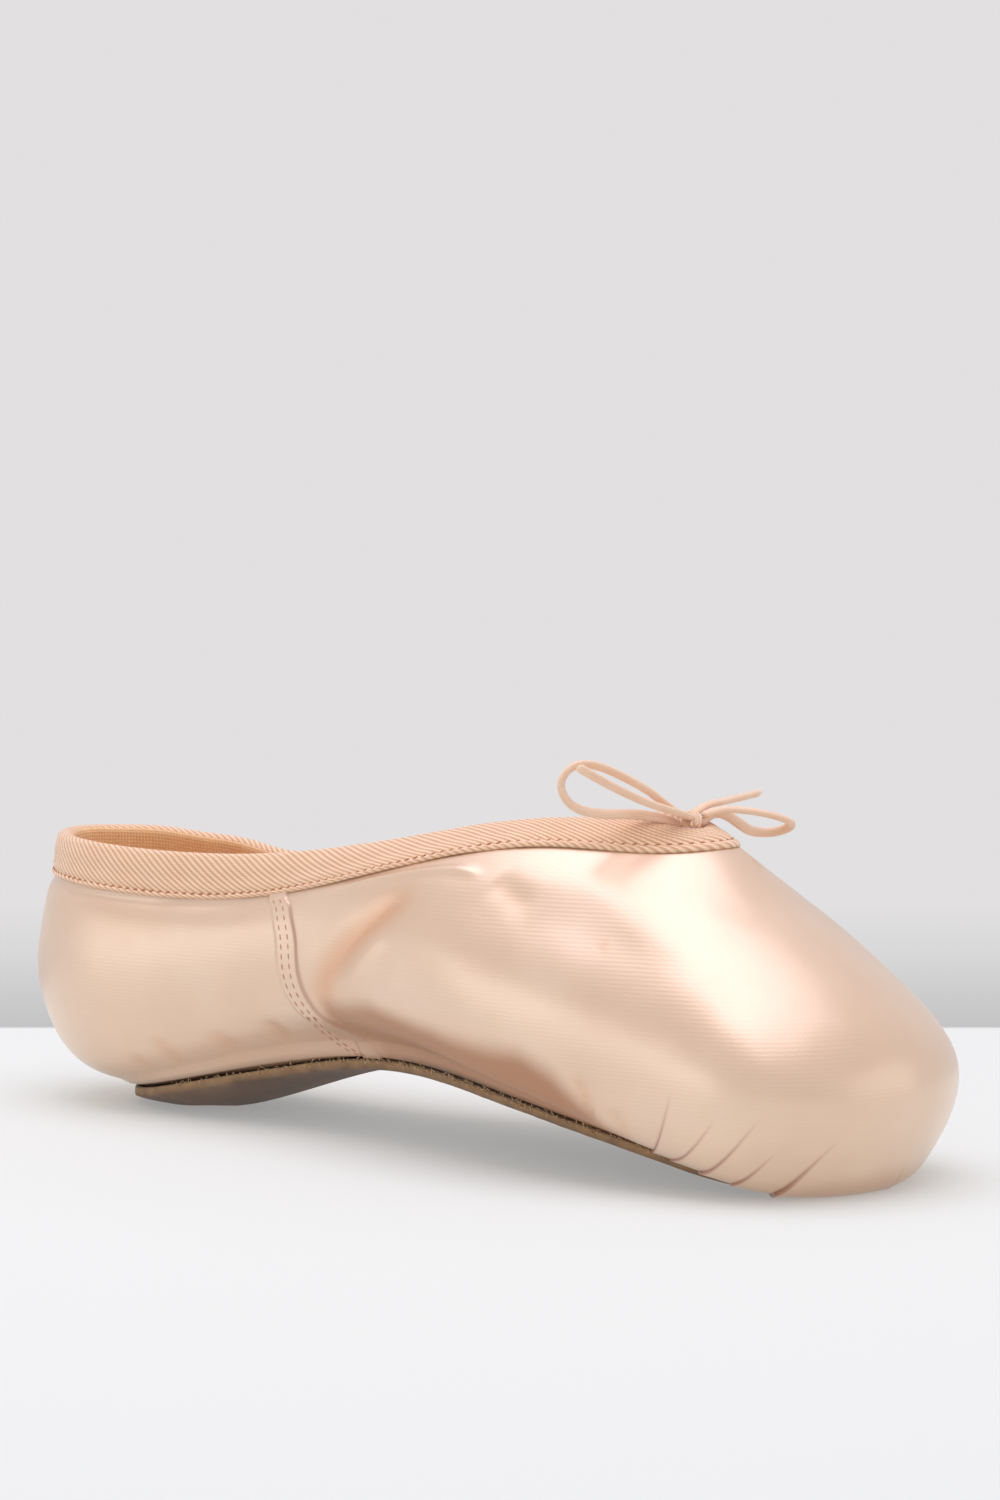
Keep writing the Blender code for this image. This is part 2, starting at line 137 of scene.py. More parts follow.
THREAD_ROUTE = ((0.0010, -0.0022, -0.0012), (0.0024, -0.0034, -0.0030), (0.0036, -0.0030, -0.0048),
                (0.0058, -0.0012, -0.0058), (0.0086, 0.0016, -0.0066))
CORD_WIDTH = 0.0022
CORD_FLATNESS = 0.68
BRAID_PITCH = 0.00075
BAND_WIDTH = 0.0017
BAND_FLATNESS = 0.62
THREAD_WIDTH = 0.00045

# Pleats of the satin round the toe, from the sole's edge up.
# turn: at the sole, 0 to 1 on the near side, 1 to 2 on the far side; top: level where it ends;
# lip: height of the folded edge in millimetres
PLEAT_COLUMNS = ("turn", "top", "lip")
PLEATS = ((0.805, 0.410, 0.50), (0.834, 0.375, 0.34), (0.865, 0.390, 0.50), (0.896, 0.315, 0.34),
          (0.930, 0.350, 0.60), (1.004, 0.245, 0.22), (1.070, 0.350, 0.55), (1.104, 0.315, 0.34),
          (1.135, 0.390, 0.50), (1.166, 0.370, 0.34), (1.195, 0.400, 0.50))
# How far the pleats lean between two levels, and its share at turns round the toe
PLEAT_LEAN = 0.22
PLEAT_FOOT = 0.26
PLEAT_LEVELS = (0.18, 0.42)
PLEAT_START = (0.76, 0.79)
PLEAT_LEAN_SHARE = ((0.80, 0.2), (0.83, 0.9), (0.90, 1.0), (0.95, 0.8), (1.0, 0.0))
# Reach in millimetres of a pleat's lip, of the dip beside it and of the painted shadow line in its fold
LIP_REACH = 2.6
DIP_REACH = 1.3
FOLD_PLACE = 0.12
FOLD_REACH = 0.30

# Soft creases of the satin: the side it lies on (-1 near, 1 far), height and width in millimetres,
# share of the peach tint in it, painted shading in a trough but the own colour of the small orange
# mark, and its route as (share of the half turn, level)
CREASE_COLUMNS = ("side", "height", "width", "tint", "route")
CREASES = (
    # Wing: trough, shoulder, lip, corner
    (-1, -0.75, 3.4, 0.85, ((0.606, 0.748), (0.570, 0.715), (0.525, 0.655), (0.479, 0.575),
                            (0.447, 0.490), (0.430, 0.410), (0.424, 0.330), (0.424, 0.220))),
    (-1, 0.75, 1.1, 0.0, ((0.505, 0.862), (0.566, 0.856), (0.624, 0.846), (0.672, 0.830), (0.692, 0.800))),
    (-1, 0.45, 2.2, 0.0, ((0.520, 0.600), (0.492, 0.530), (0.470, 0.450), (0.462, 0.380))),
    (-1, -0.40, 3.2, 0.15, ((0.700, 0.790), (0.704, 0.750), (0.716, 0.700))),
    # Waist and ball
    (-1, -0.60, 5.0, 0.2, ((0.470, 0.330), (0.540, 0.320), (0.620, 0.330), (0.700, 0.310))),
    (-1, -0.60, 1.3, 0.5, ((0.722, 0.380), (0.734, 0.330), (0.742, 0.250))),
    (-1, -0.35, 1.4, 0.3, ((0.756, 0.330), (0.768, 0.290), (0.776, 0.230))),
    # Platform
    (-1, -0.30, 3.0, 0.0, ((0.902, 0.420), (0.905, 0.380), (0.908, 0.340))),
    (-1, -0.25, 2.5, 0.0, ((0.926, 0.390), (0.928, 0.350), (0.930, 0.310))),
    # Heel
    (-1, -0.45, 1.6, 0.4, ((0.160, 0.060), (0.180, 0.160), (0.192, 0.220))),
    (-1, -0.45, 1.8, 0.4, ((0.198, 0.060), (0.222, 0.180), (0.232, 0.270))),
    (-1, -0.50, 2.0, 0.45, ((0.254, 0.060), (0.278, 0.170), (0.280, 0.250))),
    (-1, -0.55, 1.8, 0.5, ((0.306, 0.060), (0.334, 0.180), (0.342, 0.280))),
    # Small orange mark, and the heel's sheen
    (-1, 0.0, 0.8, 0.7, ((0.777, 0.673), (0.775, 0.656), (0.772, 0.640))),
    (-1, -0.30, 6.0, 0.1, ((0.120, 0.780), (0.200, 0.700), (0.300, 0.640))),
    # Far side: wing, waist, heel, ball
    (1, -0.70, 2.6, 0.8, ((0.590, 0.750), (0.520, 0.660), (0.470, 0.560), (0.440, 0.450))),
    (1, -0.50, 5.0, 0.2, ((0.480, 0.330), (0.560, 0.320), (0.660, 0.320))),
    (1, -0.40, 1.8, 0.4, ((0.222, 0.060), (0.245, 0.190), (0.250, 0.260))),
    (1, -0.45, 1.6, 0.5, ((0.700, 0.350), (0.712, 0.300), (0.720, 0.250))),
)

# Painted shading, browner and less glossy, on the satin that turns in to the sole: share of the
# half turn, level, strength
PAINTED_LOW_SHADE_COLUMNS = ("side", "level", "strength")
PAINTED_LOW_SHADE = ((0.00, 0.20, 0.20), (0.12, 0.20, 0.25), (0.30, 0.21, 0.35), (0.395, 0.24, 0.40),
           (0.42, 0.36, 0.75), (0.487, 0.375, 0.85), (0.55, 0.355, 0.90), (0.61, 0.365, 0.90),
           (0.665, 0.385, 0.90), (0.70, 0.36, 0.90), (0.73, 0.32, 0.85), (0.76, 0.27, 0.70),
           (0.80, 0.23, 0.50), (0.84, 0.20, 0.30), (0.90, 0.22, 0.25), (1.00, 0.26, 0.40))
# Painted shadow in the dark gap between satin and sole, at the waist
GAP_SHADE_SHARE = ((0.0, 0.25), (0.30, 0.6), (0.40, 0.35), (0.45, 1.0), (0.68, 1.0), (0.76, 0.4), (0.86, 0.0),
             (1.0, 0.0))
# How far the satin rolls down over the sole's edge round the toe, in millimetres
ROLL_DOWN = ((0.0, 0.0), (0.84, 0.0), (0.88, 0.9), (0.92, 1.9), (1.0, 2.2))
FLOOR_CLEARANCE = 0.0003

# Columns of the satin's mesh: even ones per half turn, the room they keep in millimetres from the
# close ones, and where those lie in millimetres from the seam's edges and the pleats
EVEN_COLUMNS = 165
COLUMN_ROOM = 0.35
COLUMNS_BY_SEAM = (-0.9, -0.45, -0.12, 0.12, 0.45, 0.9)
COLUMNS_BY_PLEAT = (-1.5, -0.8, -0.4, -0.1, 0.1, 0.4, 0.9, 1.6)

# Levels between which creases fade under the tape, the roll-down comes and goes, and the gap's
# painted shadow ends
FREE_END = (0.84, 0.90)
ROLL_START = (0.105, 0.13)
ROLL_END = (0.15, 0.32)
GAP_SHADE_END = (0.096, 0.118)
# Reach in millimetres of the seam's hold on the slack beside it, and of the painted shadow line at
# its front
SEAM_CALM = 4.5
SEAM_LINE_REACH = 0.35

# Soft lumps of each surface: their size and height in millimetres, and the seed of the noise
SATIN_SLACK = ((18, 0.22, 1), (6, 0.05, 2))
TAPE_PULL = ((11, 0.20, 3), (4, 0.08, 4))
LEATHER_LUMPS = ((1.6, 0.16, 5), (5, 0.25, 6))
SOCK_LUMPS = ((14, 0.12, 8),)

# Tape, in millimetres. Section: run up from its lower edge, height over the satin
TAPE_SHAPE = ((0.0, 0.25), (0.4, 0.72), (1.0, 0.86), (1.7, 0.55), (2.6, 0.72), (5.0, 0.88), (7.5, 1.15),
              (10.0, 1.00))
TAPE_INSIDE_RUN = 6.5
# Where the corded edge gives way to the ribs, and the slack wave of the far rim: height, length
CORDED_EDGE_END = (1.4, 2.6)
RIPPLE_HEIGHT = 0.5
RIPPLE_LENGTH = 23
# Twill ribs: pitch along the edge, lean across the tape, height
RIB_PITCH = 1.9
RIB_SLANT = 1.43
RIB_HEIGHT = 0.20

# Stitches, in millimetres: pitch in a row, and length, width and height of one
TAPE_STITCH_PITCH = 2.3
TAPE_STITCH_SIZE = (1.3, 0.42, 0.36)
# Their run up from the tape's lower edge, and their height over the satin
TAPE_STITCH_RUN = 1.85
TAPE_STITCH_LIFT = 0.62
SEAM_STITCH_PITCH = 2.1
SEAM_STITCH_SIZE = (1.35, 0.36, 0.30)
# The two rows on the seam's strip, as shares of its width, and the levels between which they run
SEAM_STITCH_ROWS = (0.28, 0.64)
SEAM_STITCH_LEVELS = (0.125, 0.885)

# Loose fibres of the leather's edge: how many, and the range of their lengths in millimetres
FIBRE_COUNT = 620
FIBRE_LENGTHS = (0.4, 1.5)


# Curves and the last

def spline_weights(knots, wanted, period=None):
    """Weights of a smooth cubic through values at the knots; with a period it closes on itself."""
    knots = np.asarray(knots, float)
    count = len(knots)
    steps = np.diff(np.append(knots, knots[0] + period) if period else knots)
    bend = np.zeros((count, count))
    pull = np.zeros((count, count))
    for i in range(count):
        if not period and i in (0, count - 1):
            bend[i, i] = 1.0
            continue
        before, after = steps[i - 1], steps[i]
        left, right = (i - 1) % count, (i + 1) % count
        bend[i, left] += before
        bend[i, i] += 2 * (before + after)
        bend[i, right] += after
        pull[i, left] += 6 / before
        pull[i, i] -= 6 / before + 6 / after
        pull[i, right] += 6 / after
    curvature = np.linalg.solve(bend, pull)
    wanted = np.atleast_1d(np.asarray(wanted, float))
    if period:
        wanted = (wanted - knots[0]) % period + knots[0]
    i = np.clip(np.searchsorted(knots, wanted, side="right") - 1, 0, len(steps) - 1)
    j = (i + 1) % count
    q = ((wanted - knots[i]) / steps[i])[:, None]
    rows = (1 - q) * np.eye(count)[i] + q * np.eye(count)[j]
    scale = (steps[i] ** 2 / 6)[:, None]
    rows += ((1 - q) ** 3 - (1 - q)) * scale * curvature[i]
    rows += (q ** 3 - q) * scale * curvature[j]
    return rows


def table_curve(table, values):
    """Second column of a table at values of its first, along a smooth curve."""
    values = np.asarray(values, float)
    inside = np.clip(values.reshape(-1), table[0][0], table[-1][0])
    smooth = spline_weights([row[0] for row in table], inside) @ [row[1] for row in table]
    return smooth.reshape(values.shape)


def sole_line(x):
    return SOLE_THICKNESS + ARCH_RISE * table_curve(SOLE_LINE_SHARES, np.asarray(x) / LENGTH)


def control_net():
    """The rows as closed rings: right side (-Y) from heel to toe, then back along the left."""
    rings = []
    for values in ROW_SHARES.values():
        row = dict(zip(COLUMNS, values))
        x = LENGTH * (row["heel"] + np.array(ALONG_SHARE) * (row["toe"] - row["heel"]))
        half = np.array([0.0, *[BALL_WIDTH / 2 * row[key] for key in COLUMNS[3:8]], 0.0])
        bottom = sole_line(x)
        rim = HEEL_HEIGHT + (THROAT_HEIGHT - HEEL_HEIGHT) * np.array(RIM_SHARE)
        heights = np.array(row["heights"])
        z = bottom + heights * (rim - bottom)
        slack = heights ** 2 * FAR_SIDE_DROP * np.array(DROP_SHARE)
        right = list(zip(x, -half, z))
        left = list(zip(x, half, z - slack))[1:-1]
        rings.append(right + left[::-1])
    return np.array(rings)


NET = control_net()
RING_TURNS = list(TURN_SHARE) + [2 - turn for turn in TURN_SHARE[-2:0:-1]]
LEVELS = [row[0] for row in ROW_SHARES.values()]
EDGE_LEVEL = ROW_SHARES["edge"][0]
EDGE = spline_weights(RING_TURNS, np.linspace(0, 1, 241), 2.0) @ NET[list(ROW_SHARES).index("edge")]
EDGE_X, EDGE_HALF = EDGE[:, 0], -EDGE[:, 1]


def under_height(x, y):
    """Height of the dished line of the satin's margin, which sole and insole both follow."""
    half = np.interp(x, EDGE_X, EDGE_HALF)
    share = np.clip(np.abs(y) / np.maximum(half, 2 * MM), 0, 1)
    middle, reach = (EDGE_X[-1] + EDGE_X[0]) / 2, (EDGE_X[-1] - EDGE_X[0]) / 2
    end = np.clip(np.abs(x - middle) / reach, 0, 1)
    dish = ARCH_RISE * table_curve(BELLY_SHARES, np.asarray(x) / LENGTH)
    return sole_line(x) - dish * (1 - share ** 2) * (1 - end ** 8)


def last_points(turns, levels):
    """Points of the last at arrays of turns and levels of one shape."""
    turns, levels = np.broadcast_arrays(np.asarray(turns, float), np.asarray(levels, float))
    across = spline_weights(RING_TURNS, turns.reshape(-1), 2.0)
    up = spline_weights(LEVELS, np.clip(levels.reshape(-1), 0, 1))
    points = np.einsum("nr,nk,rkc->nc", up, across, NET).reshape(*turns.shape, 3)
    under = levels <= EDGE_LEVEL
    points[under, 2] = under_height(points[under, 0], points[under, 1])
    return points


def last_frame(turns, levels):
    """Points, outward unit normals and unit directions up the wall."""
    step = 0.002
    low, high = np.maximum(np.asarray(levels) - step, 0), np.minimum(np.asarray(levels) + step, 1)
    rise = last_points(turns, high) - last_points(turns, low)
    rise /= np.linalg.norm(rise, axis=-1, keepdims=True)
    forward = last_points(turns + step, levels) - last_points(turns - step, levels)
    normal = np.cross(forward, rise)
    normal /= np.linalg.norm(normal, axis=-1, keepdims=True)
    return last_points(turns, levels), normal, rise


def one_side(turns):
    """Share of the half turn from the heel, the same on both sides."""
    return np.where(turns > 1, 2 - turns, turns)


def leaning(turns, levels):
    """Turns shifted so that columns follow the side seams and the toe's pleats."""
    turns = np.asarray(turns, float)
    side = one_side(turns)
    seam = np.clip(np.abs(side - SEAM_SHARE) / SEAM_REACH_SHARE, 0, 1)
    shift = (table_curve(SEAM_LINE_SHARES, levels) - SEAM_SHARE) * np.cos(math.pi / 2 * seam) ** 2
    toe = np.interp(side, *zip(*PLEAT_LEAN_SHARE))
    above = np.clip(levels, *PLEAT_LEVELS) - PLEAT_FOOT
    shift = shift + PLEAT_LEAN * above * np.interp(side, PLEAT_START, (0, 1)) * toe
    return np.where(turns > 1, turns - shift, turns + shift)


def smooth_step(low, high, value):
    share = np.clip((value - low) / (high - low), 0, 1)
    return share * share * (3 - 2 * share)


def soft_noise(points, size, seed):
    """Smooth noise from -1 to 1 with lumps of a size, at each point."""
    offset = Vector((seed * 7.3, seed * 3.1, seed * 5.7))
    flat = points.reshape(-1, 3) / size
    values = [noise.noise(Vector(point) + offset) for point in flat.tolist()]
    return np.array(values).reshape(points.shape[:-1])


def soft_lumps(points, table):
    """Height of soft lumps in metres at each point."""
    return sum(soft_noise(points, size * MM, seed) * height * MM for size, height, seed in table)


# Mesh makers

def sheet_mesh(points, uv=None, marks=None):
    """A grid whose vertices are moved to points (rows, columns), with UVs in millimetres.

    Every sheet here meets itself: the borders that lie on each other are joined.
    """
    rows, columns = points.shape[:2]
    shape = bmesh.new()
    bmesh.ops.create_grid(shape, x_segments=columns - 1, y_segments=rows - 1, size=0.5)
    layers = {name: shape.verts.layers.float.new(name) for name in marks or {}}
    map_layer = shape.loops.layers.uv.new("UVMap")
    places = {}
    for vertex in shape.verts:
        row = round((vertex.co.y + 0.5) * (rows - 1))
        column = round((vertex.co.x + 0.5) * (columns - 1))
        places[vertex] = (row, column)
        vertex.co = points[row, column]
        for name, layer in layers.items():
            vertex[layer] = marks[name][row, column]
    if uv is not None:
        for face in shape.faces:
            for loop in face.loops:
                loop[map_layer].uv = uv[places[loop.vert]]
    borders = [vertex for vertex in shape.verts if vertex.is_boundary]
    bmesh.ops.remove_doubles(shape, verts=borders, dist=1e-6)
    return shape


def add_mesh(name, shape, materials):
    """The bmesh, which this frees, as an object."""
    mesh = bpy.data.meshes.new(name)
    shape.to_mesh(mesh)
    shape.free()
    for material in materials:
        mesh.materials.append(material)
    return add_object(name, mesh)


def add_object(name, data):
    made = bpy.data.objects.new(name, data)
    bpy.context.scene.collection.objects.link(made)
    return made


def finish_piece(name, shape, materials, closed=False):
    """The bmesh as a smooth-shaded object in the shared frame, riding on the shoe's one body."""
    bmesh.ops.translate(shape, vec=SHIFT, verts=shape.verts)
    if closed:
        bmesh.ops.recalc_face_normals(shape, faces=shape.faces)
        if shape.calc_volume(signed=True) < 0:
            bmesh.ops.reverse_faces(shape, faces=shape.faces)
    for face in shape.faces:
        face.smooth = True
    piece = add_mesh(name, shape, materials)
    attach(piece, "root")
    return piece


def run_lengths(points):
    """Length along each row of points from its first column."""
    steps = np.linalg.norm(np.diff(points, axis=-2), axis=-1)
    start = np.zeros(steps.shape[:-1] + (1,))
    return np.concatenate([start, np.cumsum(steps, axis=-1)], axis=-1)


# Colours and materials

def colour(text):
    """Linear RGBA of an sRGB hex colour."""
    channels = [int(text[i:i + 2], 16) / 255 for i in (1, 3, 5)]
    linear = [c / 12.92 if c <= 0.04045 else ((c + 0.055) / 1.055) ** 2.4 for c in channels]
    return (*linear, 1.0)


def add_node(tree, kind, inputs=None, **settings):
    """A node with its settings, and values or links on its inputs."""
    made = tree.nodes.new(kind)
    for name, value in settings.items():
        setattr(made, name, value)
    for name, value in (inputs or {}).items():
        if isinstance(value, bpy.types.NodeSocket):
            tree.links.new(value, made.inputs[name])
        else:
            made.inputs[name].default_value = value
    return made


def new_material(name, **values):
    """A material, its tree and its Principled shader with plain values on its sockets."""
    material = bpy.data.materials.new(name)
    material.use_nodes = True
    shader = material.node_tree.nodes["Principled BSDF"]
    for key, value in values.items():
        shader.inputs[key.replace("_", " ")].default_value = value
    return material, material.node_tree, shader


def colour_ramp(tree, factor, stops):
    ramp = add_node(tree, "ShaderNodeValToRGB", {"Fac": factor})
    elements = ramp.color_ramp.elements
    while len(elements) < len(stops):
        elements.new(0.5)
    for element, (place, text) in zip(elements, stops):
        element.position = place
        element.color = colour(text)
    return ramp.outputs["Color"]


def mixed(tree, factor, first, second):
    """Colour between two colours, each a socket or plain RGBA."""
    mix = add_node(tree, "ShaderNodeMix", data_type="RGBA")
    for socket, value in ((mix.inputs[0], factor), (mix.inputs[6], first), (mix.inputs[7], second)):
        if isinstance(value, bpy.types.NodeSocket):
            tree.links.new(value, socket)
        else:
            socket.default_value = value
    return mix.outputs[2]


def coordinates(tree, kind="Object"):
    return add_node(tree, "ShaderNodeTexCoord").outputs[kind]


def cloudy(tree, place, scale, detail):
    """Soft cloudy noise from 0 to 1, about 1 / scale from cloud to cloud."""
    inputs = {"Vector": place, "Scale": scale, "Detail": detail}
    return add_node(tree, "ShaderNodeTexNoise", inputs).outputs["Fac"]


def waves(tree, place, pitch, direction, **values):
    """Soft bands from 0 to 1 across one axis; Blender's wave repeats every 0.314 at a scale of 1."""
    inputs = {key.replace("_", " "): value for key, value in values.items()}
    inputs.update({"Vector": place, "Scale": 0.314 / pitch})
    return add_node(tree, "ShaderNodeTexWave", inputs, bands_direction=direction).outputs["Fac"]


def map_range(tree, value, **limits):
    """A value taken from one range to another, by default 0 to 1."""
    inputs = {key.replace("_", " "): limit for key, limit in limits.items()}
    return add_node(tree, "ShaderNodeMapRange", {"Value": value, **inputs}).outputs["Result"]


def add_bump(tree, shader, height, strength, distance):
    bump = add_node(tree, "ShaderNodeBump", {"Height": height, "Strength": strength, "Distance": distance})
    tree.links.new(bump.outputs["Normal"], shader.inputs["Normal"])


def satin_material():
    """Rayon satin, woven with long floats: a glossy face that catches broad, pale highlights."""
    material, tree, shader = new_material("rayon satin", Roughness=0.35, Coat_Roughness=0.33,
                                          Coat_IOR=2.1)
    place = coordinates(tree)
    cloud = cloudy(tree, place, 1 / 0.030, 3.0)
    tone = colour_ramp(tree, cloud, ((0.30, "#E5C09F"), (0.70, "#EECDAF")))
    # Painted shading from the marks: peach in crease troughs, brown on the low band, dark lines in the folds
    # and the gap by the sole; the peach mark also holds a small orange mark's own colour
    for mark, tint in (("painted_shade_and_mark", "#E2A470"), ("low", "#AC744C"), ("fold", "#A0532D"), ("gap", "#4E3724")):
        share = add_node(tree, "ShaderNodeAttribute", attribute_name=mark).outputs["Fac"]
        tone = mixed(tree, share, tone, colour(tint))
    tree.links.new(tone, shader.inputs["Base Color"])
    # Painted shading on the low band by the sole: less coat and metallic gloss there
    low_shade_share = add_node(tree, "ShaderNodeAttribute", attribute_name="low").outputs["Fac"]
    for name, most in (("Coat Weight", 1.0), ("Metallic", 0.32)):
        less = map_range(tree, low_shade_share, To_Min=most, To_Max=0.12 * most)
        tree.links.new(less, shader.inputs[name])
    # Threads lie lengthwise, 0.8 mm apart so that they show; the real ones are far finer
    facing = add_node(tree, "ShaderNodeSeparateXYZ",
                      {"Vector": add_node(tree, "ShaderNodeNewGeometry").outputs["Normal"]})
    upward = map_range(tree, facing.outputs["Z"], From_Min=0.55, From_Max=0.85)
    threads = add_node(tree, "ShaderNodeMix", {"Factor": upward}, data_type="FLOAT")
    for socket, direction in ((2, "Z"), (3, "Y")):
        band = waves(tree, place, 0.0008, direction, Distortion=0.8, Detail=2.0, Detail_Scale=1.5)
        tree.links.new(band, threads.inputs[socket])
    add_bump(tree, shader, threads.outputs[0], 0.25, 0.00005)
    return material


def woven_material(name, dark, light, thread, depth, roughness, sheen, ribs=None):
    """Cotton weave on the piece's UV map in millimetres: matt, with a soft sheen.

    thread is the weave's pitch in mm; ribs holds painted shading between twill ribs, painted highlight on
    them.
    """
    material, tree, shader = new_material(name, Roughness=roughness, Sheen_Weight=sheen,
                                          Sheen_Roughness=0.5)
    place = coordinates(tree, "UV")
    warp, weft = [waves(tree, place, thread, axis, Distortion=0.8, Detail=1.0) for axis in "XY"]
    weave = add_node(tree, "ShaderNodeMath", {0: warp, 1: weft}, operation="MULTIPLY")
    cloud = cloudy(tree, place, 0.12, 4.0)
    blend = add_node(tree, "ShaderNodeMath", {0: weave.outputs[0], 1: cloud}, operation="ADD")
    # Painted shading: the weave's tone darkens where its threads dip, as its bump does
    tone = colour_ramp(tree, blend.outputs[0], ((0.35, dark), (1.15, light)))
    if ribs:
        angle = math.atan(RIB_SLANT)
        leant = add_node(tree, "ShaderNodeMapping", {"Vector": place, "Rotation": (0, 0, -angle)})
        rib = waves(tree, leant.outputs[0], RIB_PITCH * math.cos(angle), "X", Distortion=0.3, Detail=1.0)
        # Painted shading between the twill ribs and painted highlight on their crests
        rib_shade_and_highlight = colour_ramp(tree, rib, ((0.15, ribs[0]), (0.75, ribs[1])))
        tone = mixed(tree, 0.7, tone, rib_shade_and_highlight)
    tree.links.new(tone, shader.inputs["Base Color"])
    add_bump(tree, shader, weave.outputs[0], 0.5, depth)
    return material


def leather_material():
    """Split cowhide, brushed on the outside: matt brown with a fine nap and paler worn edges."""
    material, tree, shader = new_material("split cowhide", Roughness=0.85, Sheen_Weight=0.12,
                                          Sheen_Roughness=0.6)
    place = coordinates(tree)
    body = colour_ramp(tree, cloudy(tree, place, 1 / 0.014, 4.0), ((0.3, "#4E3829"), (0.7, "#6E523C")))
    rim = add_node(tree, "ShaderNodeAttribute", attribute_name="edge").outputs["Fac"]
    tree.links.new(mixed(tree, rim, body, colour("#AD8A63")), shader.inputs["Base Color"])
    add_bump(tree, shader, cloudy(tree, place, 1 / 0.0009, 5.0), 0.6, 0.0002)
    return material


def thread_material(name, tone, roughness=0.6):
    """Spun thread: matt with a soft sheen and a fine twist."""
    material, tree, shader = new_material(name, Roughness=roughness, Sheen_Weight=0.3,
                                          Sheen_Roughness=0.4)
    shader.inputs["Base Color"].default_value = colour(tone)
    place = coordinates(tree)
    add_bump(tree, shader, cloudy(tree, place, 1 / 0.0004, 2.0), 0.3, 0.0001)
    return material


SATIN = satin_material()
LINING = woven_material("cotton drill", "#F0B983", "#FFD9AA", thread=0.8, depth=0.0002,
                        roughness=0.8, sheen=0.3)
TWILL = woven_material("cotton twill tape", "#E0AC83", "#F3CFAD", thread=0.55, depth=0.0001,
                       roughness=0.72, sheen=0.35, ribs=("#D19A6E", "#FBDDBF"))
SOCK = woven_material("cotton sock cloth", "#CDA57C", "#E5C39C", thread=0.7, depth=0.0002,
                      roughness=0.85, sheen=0.3)
CORD = woven_material("braided cotton cord", "#EFC3A0", "#FBDFC6", thread=0.35, depth=0.00008,
                      roughness=0.62, sheen=0.4)
LEATHER = leather_material()
FIBRE = thread_material("loose leather fibre", "#D8B384", roughness=0.8)
TAPE_THREAD = thread_material("polyester thread, peach", "#BE8159")
SEAM_THREAD = thread_material("polyester thread, rose", "#C48E78")


# Satin upper

def run_per_turn(turn, row):
    """Metres round a row of the upper per turn, beside a turn."""
    step = 0.01
    first, second = last_points(np.array([turn, turn + step]), ROW_SHARES[row][0])
    return np.linalg.norm(second - first) / step


GIRTH_RUN = run_per_turn(SEAM_SHARE, "girth")


def upper_columns():
    """Turns round the upper: even ones, and close ones at the seam's edges and the pleats."""
    seam_mm = MM / GIRTH_RUN
    toe_mm = MM / run_per_turn(0.88, "roll")
    width = SEAM_WIDTH / MM * seam_mm
    special = []
    for edge in (SEAM_SHARE, SEAM_SHARE - width, 2 - SEAM_SHARE, 2 - SEAM_SHARE + width):
        special += [edge + seam_mm * offset for offset in COLUMNS_BY_SEAM]
    for turn, _, _ in PLEATS:
        special += [turn + toe_mm * offset for offset in COLUMNS_BY_PLEAT]
    even = [turn for turn in np.arange(0, 2, 1 / EVEN_COLUMNS)
            if min(abs(turn - other) for other in special) > COLUMN_ROOM * toe_mm]
    return np.array(sorted(even + special) + [2.0]), width


def upper_levels():
    """Levels of the upper's rows, closest over the roll, the pleats and the creases."""
    return np.concatenate([np.linspace(0, 0.09, 4)[:-1], np.linspace(0.09, 0.42, 38)[:-1],
                           np.linspace(0.42, 0.90, 44)[:-1], np.linspace(0.90, 1.0, 6)])


def pleat_relief(columns, levels, lengths):
    """Height of the folded pleats in metres, and how deep in a fold each point lies, to paint shadow."""
    height = np.zeros(lengths.shape)
    fold = np.zeros(lengths.shape)
    for values in PLEATS:
        pleat = dict(zip(PLEAT_COLUMNS, values))
        side = 1 if pleat["turn"] < 1 else -1
        rise = np.clip((pleat["top"] - levels) / (pleat["top"] - 0.20), 0, 1)
        taper = (smooth_step(0, 1, rise) * smooth_step(0.085, 0.14, levels))[:, None]
        place = [np.interp(pleat["turn"], columns, row) for row in lengths]
        across = side * (lengths - np.array(place)[:, None]) / MM
        lip = np.where(across > 0, np.exp(-np.abs(across) / LIP_REACH),
                       -0.4 * np.exp(-np.abs(across) / DIP_REACH))
        height += pleat["lip"] * MM * taper * lip
        # Painted shadow: a dark line deep in each pleat's fold
        fold = np.maximum(fold, taper ** 0.5 * np.exp(-((across + FOLD_PLACE) / FOLD_REACH) ** 2))
    return height, fold


def crease_relief(points):
    """Height of the soft creases in metres; painted peach shading in their troughs, and an orange mark."""
    height = np.zeros(points.shape[:-1])
    painted_shade_and_mark = np.zeros(points.shape[:-1])
    flat = points.reshape(-1, 3)
    for values in CREASES:
        crease = dict(zip(CREASE_COLUMNS, values))
        route = np.array(crease["route"])
        knots = np.linspace(0, 1, len(route))
        shares = np.linspace(0, 1, 60)
        fine = spline_weights(knots, shares) @ route
        turns = fine[:, 0] if crease["side"] < 0 else 2 - fine[:, 0]
        line = last_points(turns, fine[:, 1])
        gaps = np.linalg.norm(flat[:, None] - line[None], axis=2)
        nearest = gaps.argmin(axis=1)
        gap = gaps[np.arange(len(flat)), nearest] / MM
        end = smooth_step(0, 0.3, np.minimum(shares, 1 - shares) + 0.02)[nearest]
        soft = (np.exp(-(gap / crease["width"]) ** 2) * end).reshape(height.shape)
        height += crease["height"] * MM * soft
        # Painted shading: peach in each crease's trough, by its tint; the small orange mark is its own
        # colour
        painted_shade_and_mark = np.maximum(painted_shade_and_mark, soft * crease["tint"])
    return height, painted_shade_and_mark


